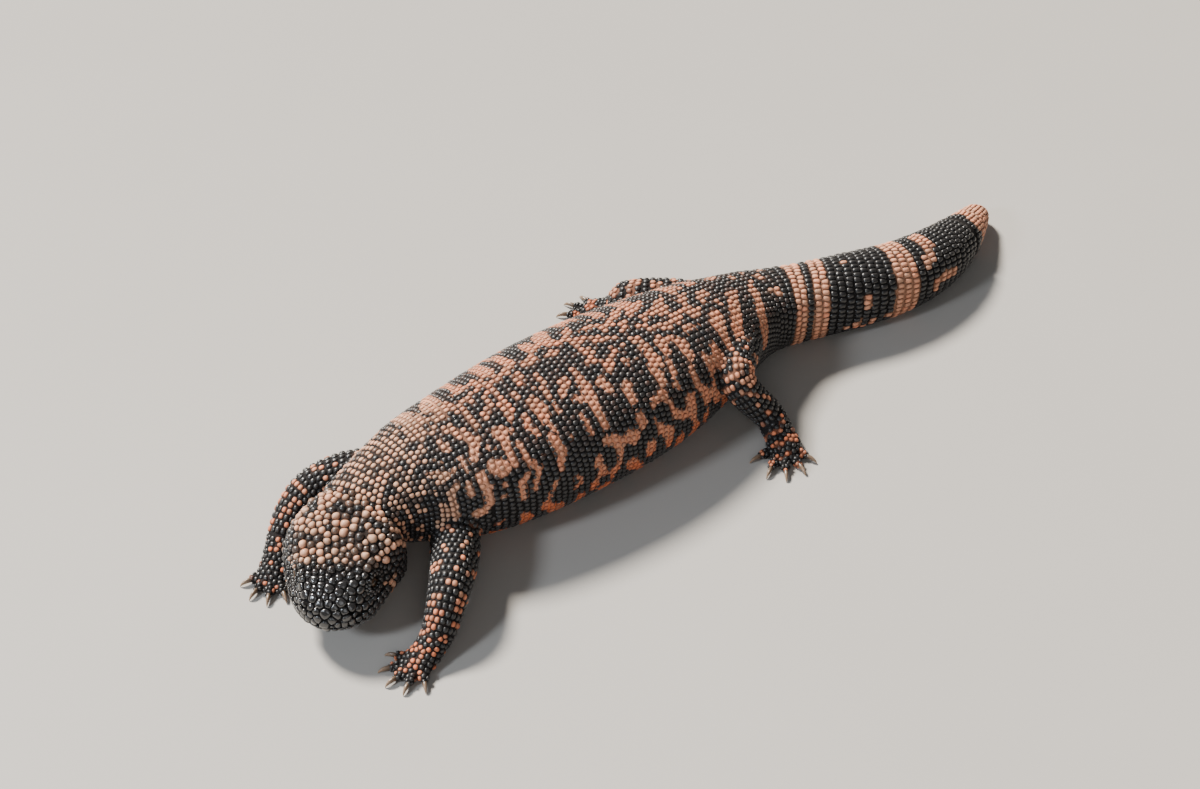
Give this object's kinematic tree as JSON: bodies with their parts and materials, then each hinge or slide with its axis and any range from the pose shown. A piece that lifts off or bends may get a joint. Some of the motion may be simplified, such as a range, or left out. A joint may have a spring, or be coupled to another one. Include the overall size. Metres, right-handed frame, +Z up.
{
  "type": "gila monster",
  "caption": "Stout, low lizard with a broad blunt head, beaded hide in black and salmon pink, short clawed legs and a thick tail, walking with its head turned to its left.",
  "frame": {"origin": "middle of the underside of the animal's box, on the surface that it stands on", "axes": "+X towards the tail, -X towards the head, -Y to the animal's left, +Z up"},
  "size_m": [0.4766, 0.1796, 0.0604],
  "materials": {
    "hide_mottled": "beaded scales, black with salmon-pink blotches, slightly glossy",
    "hide_dark": "beaded scales, mostly black with pink spots, slightly glossy",
    "hide_banded": "beaded scales in black and pink rings, slightly glossy",
    "claw": "horn, smooth",
    "eye": "wet and glossy"
  },
  "bodies": {
    "root": {"eye_left": "eye", "eye_right": "eye", "foot_fore_left": "hide_dark", "foot_fore_right": "hide_dark", "foot_hind_left": "hide_dark", "foot_hind_right": "hide_dark", "forearm_left": "hide_dark", "forearm_right": "hide_dark", "head": "hide_mottled", "neck": "hide_mottled", "shank_left": "hide_dark", "shank_right": "hide_dark", "tail_base": "hide_banded", "tail_tip": "hide_banded", "thigh_left": "hide_mottled", "thigh_right": "hide_mottled", "torso": "hide_mottled", "upper_arm_left": "hide_mottled", "upper_arm_right": "hide_mottled"}
  },
  "joints": []
}
